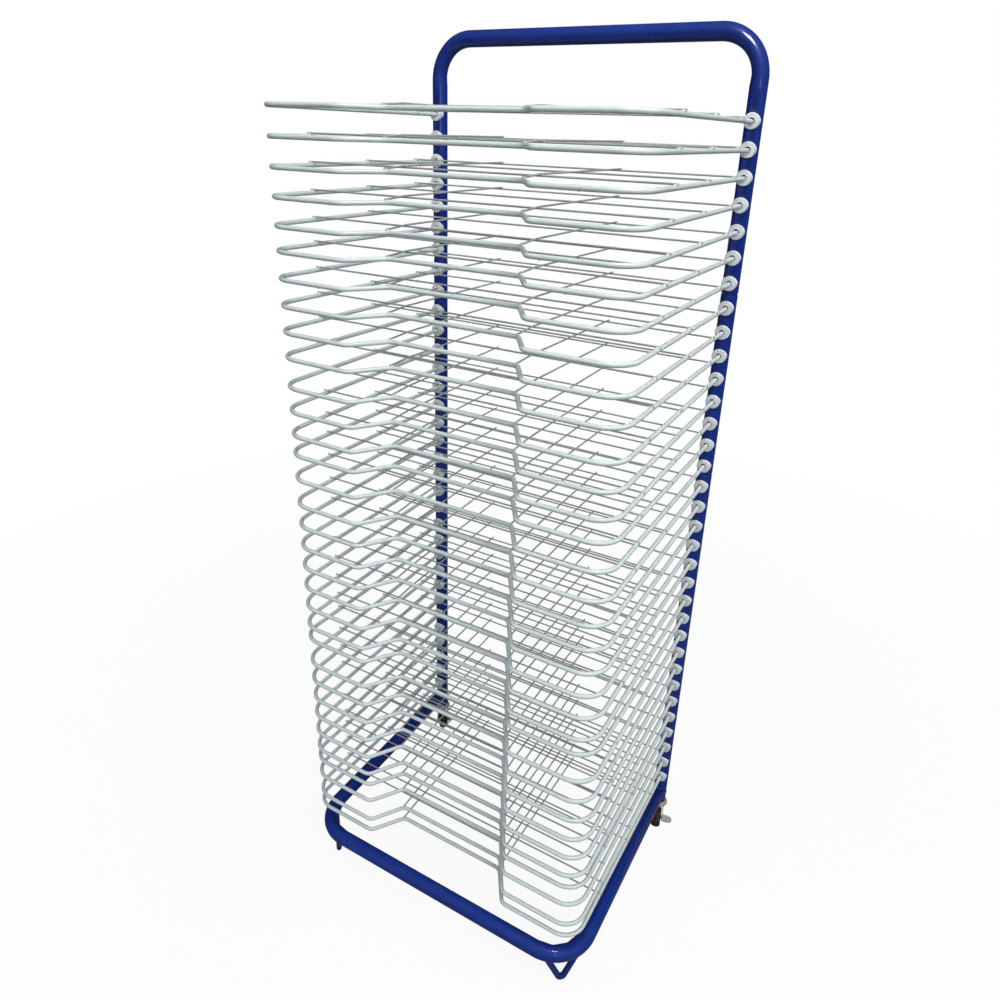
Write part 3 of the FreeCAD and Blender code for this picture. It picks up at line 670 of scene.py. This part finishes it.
def hoop_skin():
    """The top hoop with pressed bends, and the bush and cap holes cut through its skin."""
    end_z = hoop_low.z + HOOP_END_LIP
    corners = [Vector((-UPRIGHT_X, 0, end_z)), Vector((-UPRIGHT_X, 0, HANDLE_Z)),
               Vector((UPRIGHT_X, 0, HANDLE_Z)), Vector((UPRIGHT_X, 0, end_z))]

    def rounded_end(ring, x):
        """Rings that round an open end of the tube, from its last ring on."""
        lips = []
        for i in range(1, HOOP_LIP_STEPS + 1):
            tilt = math.pi / 2 * i / HOOP_LIP_STEPS
            shrink = (TUBE_R - HOOP_END_LIP * (1 - math.cos(tilt))) / TUBE_R
            z = end_z - HOOP_END_LIP * math.sin(tilt)
            lips.append([Vector((x + (p.x - x) * shrink, p.y * shrink, z)) for p in ring])
        return lips

    rings = bent_tube_rings(corners, HOOP_BEND_R, hoop_wall)
    rings = rounded_end(rings[0], -UPRIGHT_X)[::-1] + rings + rounded_end(rings[-1], UPRIGHT_X)
    bm = bmesh.new()
    add_rings(bm, rings)
    skin = new_piece("top_hoop_skin", bm, PAINT, "frame")
    cutter = hole_cutter(range(1, HOOP_TRAYS + 1))
    cut = skin.modifiers.new("holes", "BOOLEAN")
    cut.object = cutter
    cut.solver = "EXACT"
    apply_modifiers(skin)
    bpy.data.objects.remove(cutter)
    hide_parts("top_hoop")


def hole_cutter(numbers):
    """One object of bars through the front and back walls at the arms of some trays."""
    bm = bmesh.new()
    for x, arm_z in arm_places(numbers):
        for low_y, high_y, radius, z in ((-2 * TUBE_R, 0, BUSH_HOLE_R, arm_z + ROD_SIT),
                                         (CUT_APART, 2 * TUBE_R, CAP_HOLE_R, arm_z)):
            add_rings(bm, [[Vector((x + radius * math.cos(t), y, z + radius * math.sin(t)))
                            for t in circle(HOLE_AROUND)] for y in (low_y, high_y)])
    bmesh.ops.recalc_face_normals(bm, faces=bm.faces[:])
    return link("hole_cutter", mesh_from(bm, "hole_cutter"))


def apply_modifiers(piece):
    """Puts a piece's modifiers into its mesh."""
    graph = bpy.context.evaluated_depsgraph_get()
    mesh = bpy.data.meshes.new_from_object(piece.evaluated_get(graph))
    piece.modifiers.clear()
    piece.data = mesh


def base_skin():
    """The base tube with pressed bends, its open ends buried in the uprights' fronts."""
    corners = [Vector((-UPRIGHT_X, BASE_END_Y, BASE_Z)), Vector((-UPRIGHT_X, BASE_FRONT_Y, BASE_Z)),
               Vector((UPRIGHT_X, BASE_FRONT_Y, BASE_Z)), Vector((UPRIGHT_X, BASE_END_Y, BASE_Z))]
    bm = bmesh.new()
    add_rings(bm, bent_tube_rings(corners, BASE_BEND_R, base_wall))
    skin = new_piece("base_loop_skin", bm, PAINT, "frame")
    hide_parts("base_loop")


def bead(bm, points, normals, radius, pitch):
    """A rippled weld bead along a line of points; normals point out of the corner it fills."""
    rings = []
    run = 0.0
    for i, (point, normal) in enumerate(zip(points, normals)):
        way = (points[min(i + 1, len(points) - 1)] - points[max(i - 1, 0)]).normalized()
        if i:
            run += (point - points[i - 1]).length
        side = way.cross(normal).normalized()
        out = side.cross(way).normalized()
        size = radius * (1 + BEAD_RIPPLE * (abs(math.sin(math.pi * run / pitch)) - 0.5))
        rings.append([point + side * size * math.cos(t) + out * size * BEAD_FLATNESS * math.sin(t)
                      for t in circle(BEAD_AROUND)])
    add_rings(bm, rings)


def base_weld_beads():
    """Beads round the joints of the base tube with both uprights."""
    bm = bmesh.new()
    for side in SIDES.values():
        points, normals = [], []
        for turn in circle(BASE_BEAD_STEPS, back=True):
            c, s = math.cos(turn), math.sin(turn)
            wall_y = -TUBE_R * abs(s) - BASE_BEAD_OUT
            points.append(Vector((side * UPRIGHT_X + TUBE_R * c, wall_y, BASE_Z + TUBE_R * s)))
            normals.append(Vector((c, -abs(s), s)))
        bead(bm, points, normals, BASE_BEAD_R, BASE_BEAD_PITCH)
    new_piece("base_weld_beads", bm, PAINT, "frame")


def bend_middle(side, z):
    """The middle of a front bend of the base, at a height."""
    return Vector((side * (UPRIGHT_X - BASE_BEND_R), BASE_FRONT_Y + BASE_BEND_R, z))


def from_base_axis(point, side):
    """Distance of a point under a front corner from the base tube's bent axis."""
    middle = bend_middle(side, BASE_Z)
    flat = math.hypot(point.x - middle.x, point.y - middle.y) - BASE_BEND_R
    return math.hypot(flat, point.z - middle.z)


def run_to_base(start, way, side):
    """How far along way from start a line enters the base tube from below, found by halving."""
    low, high = -FOOT_SEARCH, 0.0
    for _ in range(FOOT_HALVINGS):
        run = (low + high) / 2
        if from_base_axis(start + way * run, side) > TUBE_R:
            low = run
        else:
            high = run
    return low


def foot_weld_beads():
    """Beads where the two legs of each foot meet the underside of the bend."""
    bm = bmesh.new()
    top_z = BASE_Z - TUBE_R + 2 * FOOT_ROD_R
    rise = top_z - FOOT_ROD_R - FOOT_BEND_R
    slant = math.hypot(FOOT_HALF_SPREAD, rise)
    lean = math.atan2(FOOT_HALF_SPREAD, rise) - math.asin(FOOT_BEND_R / slant)
    for side in SIDES.values():
        outward = Vector((side, -1, 0)).normalized()
        across = Vector((side, 1, 0)).normalized()
        centre = bend_middle(side, 0) + outward * math.sqrt(BASE_BEND_R ** 2 - FOOT_HALF_SPREAD ** 2)
        for leg in (-1, 1):
            top = centre + across * leg * FOOT_HALF_SPREAD + UP * top_z
            way = across * leg * math.sin(lean) + UP * math.cos(lean)
            other = way.cross(outward).normalized()
            points, normals = [], []
            for turn in circle(FOOT_BEAD_STEPS, back=True):
                out = outward * math.cos(turn) + other * math.sin(turn)
                run = run_to_base(top + out * FOOT_ROD_R, way, side)
                points.append(top + out * (FOOT_ROD_R + FOOT_BEAD_OUT) + way * run)
                normals.append(out - way)
            bead(bm, points, normals, FOOT_BEAD_R, FOOT_BEAD_PITCH)
    new_piece("foot_weld_beads", bm, PAINT, "frame")


# --- castors ---------------------------------------------------------------------------------


def castor_place(side_name, x, y, z):
    """A point of a castor, given as it trails towards +X, in place under its upright."""
    turned = Matrix.Rotation(SWIVEL_REST[side_name], 3, "Z") @ Vector((x, y, z))
    return turned + Vector((SIDES[side_name] * UPRIGHT_X, 0, 0))


def tyre_skin(side_name):
    """A soft-shouldered tread with a moulding line round its middle, turned about the axle."""
    profile = []
    for i in range(TYRE_STEPS + 1):
        share = -1 + 2 * i / TYRE_STEPS
        crown = (WHEEL_R - HUB_R) * (1 - abs(share) ** SHOULDER_POWER) ** (1 / SHOULDER_POWER)
        profile.append((HUB_R + crown, share * WHEEL_HALF))
    middle = TYRE_STEPS // 2
    top_r = profile[middle][0]
    floor_r = top_r - GROOVE_DEPTH
    profile[middle:middle + 1] = [(top_r, -GROOVE_TOP), (floor_r, -GROOVE_FLOOR),
                                  (floor_r, GROOVE_FLOOR), (top_r, GROOVE_TOP)]
    bm = bmesh.new()
    rings = [[castor_place(side_name, TRAIL + r * math.cos(t), y, WHEEL_R + r * math.sin(t))
              for t in circle(TYRE_AROUND)] for r, y in profile]
    add_rings(bm, rings, ends="joined")
    skin = new_piece(side_name + "_tyre_skin", bm, TREAD, side_name + "_castor_roller")
    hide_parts(side_name + "_castor_tyre")


def hub_ribs(side_name):
    """Moulded ribs in the recess of both sides of a hub."""
    bm = bmesh.new()
    low_r, high_r = HUB_BOSS_R - RIB_SINK, HUB_RIM_R + RIB_SINK
    outline = ((low_r, -1), (low_r, 1), (high_r, 1), (high_r, -1))
    for way in (-1, 1):
        root_y = way * (WHEEL_HALF - HUB_RECESS - RIB_ROOT)
        face_y = way * (WHEEL_HALF - RIB_UNDER_FACE)
        layers = ((root_y, RIB_HALF), (face_y - way * RIB_TAPER, RIB_HALF),
                  (face_y, RIB_HALF * RIB_TOP_SHARE))
        for turn in circle(RIB_COUNT):
            c, s = math.cos(turn), math.sin(turn)

            def corner(r, w, y):
                return castor_place(side_name, TRAIL + r * c - w * s, y, WHEEL_R + r * s + w * c)

            add_rings(bm, [[corner(r, edge * half, y) for r, edge in outline] for y, half in layers])
    new_piece(side_name + "_hub_ribs", bm, HUB, side_name + "_castor_roller", smooth=False)


def lever_lip(side_name):
    """The rolled lip round the tab of a brake lever."""
    bm = bmesh.new()
    edge_r = TAB_R - LEVER_LIP_R
    path = [(TAB_X + edge_r * math.cos(t), TAB_END_Y + edge_r * math.sin(t))
            for t in (math.pi * i / TAB_STEPS for i in range(TAB_STEPS + 1))]
    root_y = LEVER_Y + LEVER_LIP_R
    path = [(path[0][0], root_y)] + path + [(path[-1][0], root_y)]
    rings = []
    for i, (x, y) in enumerate(path):
        ahead = path[min(i + 1, len(path) - 1)]
        behind = path[max(i - 1, 0)]
        way = Vector((ahead[0] - behind[0], ahead[1] - behind[1], 0)).normalized()
        ring = []
        for t in circle(LEVER_LIP_AROUND):
            out, up = LEVER_LIP_R * math.cos(t), LEVER_LIP_TALL * LEVER_LIP_R * math.sin(t)
            ring.append(castor_place(side_name, x + way.y * out, y - way.x * out, TAB_Z - LEVER_T / 2 + up))
        rings.append(ring)
    add_rings(bm, rings)
    new_piece(side_name + "_lever_lip", bm, LEVER, side_name + "_castor_brake")


# --- stage, lights and camera ----------------------------------------------------------------


def studio():
    """A white floor and surround, a soft key lamp at the front right, a fill and small lamps for glints."""
    scene = bpy.context.scene
    scene.view_settings.view_transform = "Standard"
    surround(scene)
    floor()
    rack_middle = (0.0, -0.2, 0.7)
    right_bend = (UPRIGHT_X, 0, HANDLE_Z)
    left_upright = (-UPRIGHT_X, 0, 1.36)
    area_lamp("key_softbox", (1.9, -1.5, 2.9), rack_middle, 1.8, 49.0, mirrored=False)
    area_lamp("left_fill", (-2.2, -1.6, 1.8), rack_middle, 1.4, 6.0, mirrored=False)
    # the lantern lights from above; its glints, on the handle's right bend and on the base's right
    # corner, come from a lamp that lights no matt surface
    area_lamp("lantern", (0.60, -0.60, 3.1), (0.23, -0.4, 0.1), 0.26, 14.0, mirrored=False)
    glint = area_lamp("lantern_glint", (0.462, -0.525, 1.98), right_bend, 0.24, 10.0, tall=0.17)
    glint.visible_diffuse = False
    area_lamp("low_window", (1.55, -2.3, 1.40), left_upright, 0.24, 1.2)


def surround(scene):
    """White where the camera sees it; as a light it is brightest above and at the front right.

    In a gloss it is that light, dimmed, and not white, so that the tubes keep the photo's dark edges."""
    world = bpy.data.worlds.new("studio")
    scene.world = world
    world.use_nodes = True
    world.node_tree.nodes.clear()
    w = Nodes(world.node_tree)
    seen = w.add("ShaderNodeBackground")
    w.set(seen, "Color", (1, 1, 1, 1))
    w.set(seen, "Strength", 1.0)
    toward = w.add("ShaderNodeVectorMath", operation="DOT_PRODUCT")
    w.set(toward, 0, w.add("ShaderNodeTexCoord").outputs["Generated"])
    w.set(toward, 1, Vector((0.42, -0.62, 0.66)).normalized())
    strength = w.ramp(toward.outputs["Value"], -0.35, 1.0, 0.04, 0.68, shape="SMOOTHSTEP")
    ray = w.add("ShaderNodeLightPath").outputs
    light = w.add("ShaderNodeBackground")
    w.set(light, "Color", (0.94, 0.97, 1.0, 1))
    w.set(light, "Strength", w.math("MULTIPLY", strength, w.ramp(ray["Is Glossy Ray"], 0.0, 1.0, 1.0, 0.35)))
    white = w.math("MAXIMUM", ray["Is Camera Ray"], ray["Is Transmission Ray"])
    out = w.add("ShaderNodeOutputWorld")
    w.set(out, 0, w.mix_shader(white, light.outputs[0], seen.outputs[0]))


def area_lamp(name, place, target, size, power, mirrored=True, tall=None):
    """A lamp, square unless tall is given; one that isn't mirrored lights matt surfaces only."""
    lamp = bpy.data.lights.new(name, "AREA")
    lamp.shape = "RECTANGLE"
    lamp.size = size
    lamp.size_y = tall or size
    lamp.energy = power
    thing = link(name, lamp)
    thing.location = place
    thing.rotation_mode = "QUATERNION"
    thing.rotation_quaternion = (Vector(target) - Vector(place)).to_track_quat("-Z", "Y")
    thing.visible_glossy = mirrored
    return thing


def floor():
    """A white floor that keeps the shadow: part of what the camera sees of it is plain white."""
    bm = bmesh.new()
    bmesh.ops.create_grid(bm, x_segments=1, y_segments=1, size=40.0)
    thing = link("floor", mesh_from(bm, "floor"))
    m = Shader("white_floor", (0.90, 0.90, 0.90), 0.9, specular=0.0)
    m.bump(m.noise(300.0, 3.0), 0.0001)
    seen = m.add("ShaderNodeLightPath").outputs["Is Camera Ray"]
    m.color(m.mix(seen, (0.14, 0.14, 0.14), (0.90, 0.90, 0.90)))
    glow = m.add("ShaderNodeEmission")
    m.set(glow, "Color", (1, 1, 1, 1))
    # the glow takes over away from the rack, so that the floor has no edge against the backdrop
    distance = m.add("ShaderNodeVectorMath", operation="LENGTH")
    m.set(distance, 0, m.place)
    glow_share = m.ramp(distance.outputs["Value"], 0.7, 2.2, 0.92, 1.0)
    share = m.math("MULTIPLY", seen, glow_share)
    surface = m.mix_shader(share, m.surface.outputs[0], glow.outputs[0])
    m.set(m.tree.nodes["Material Output"], "Surface", surface)
    thing.data.materials.append(m.material)


def camera():
    """The camera at the photograph's place and angle."""
    flat = math.cos(CAMERA_PITCH)
    forward = Vector((-math.sin(CAMERA_YAW) * flat, math.cos(CAMERA_YAW) * flat, math.sin(CAMERA_PITCH)))
    level = Vector((math.cos(CAMERA_YAW), math.sin(CAMERA_YAW), 0))
    above = level.cross(forward)
    right = level * math.cos(CAMERA_ROLL) + above * math.sin(CAMERA_ROLL)
    up = above * math.cos(CAMERA_ROLL) - level * math.sin(CAMERA_ROLL)
    lens = bpy.data.cameras.new("camera")
    lens.sensor_width, lens.lens = CAMERA_SENSOR, CAMERA_LENS
    lens.shift_x, lens.shift_y = CAMERA_SHIFT_X, CAMERA_SHIFT_Y
    lens.clip_start, lens.clip_end = 0.01, 100.0
    thing = link("camera", lens)
    turn = Matrix((right, up, -forward)).transposed()
    thing.matrix_world = Matrix.Translation(CAMERA_PLACE) @ turn.to_4x4()
    bpy.context.scene.camera = thing


dress_cad_nodes()
for tray_number in ALL_TRAYS:
    paint_shade_on_thin_wires(tray_number)
    tray_details(tray_number)
bush_lips()
cap_gates()
hoop_skin()
base_skin()
base_weld_beads()
foot_weld_beads()
for castor_side in SIDES:
    tyre_skin(castor_side)
    hub_ribs(castor_side)
    lever_lip(castor_side)
studio()
camera()
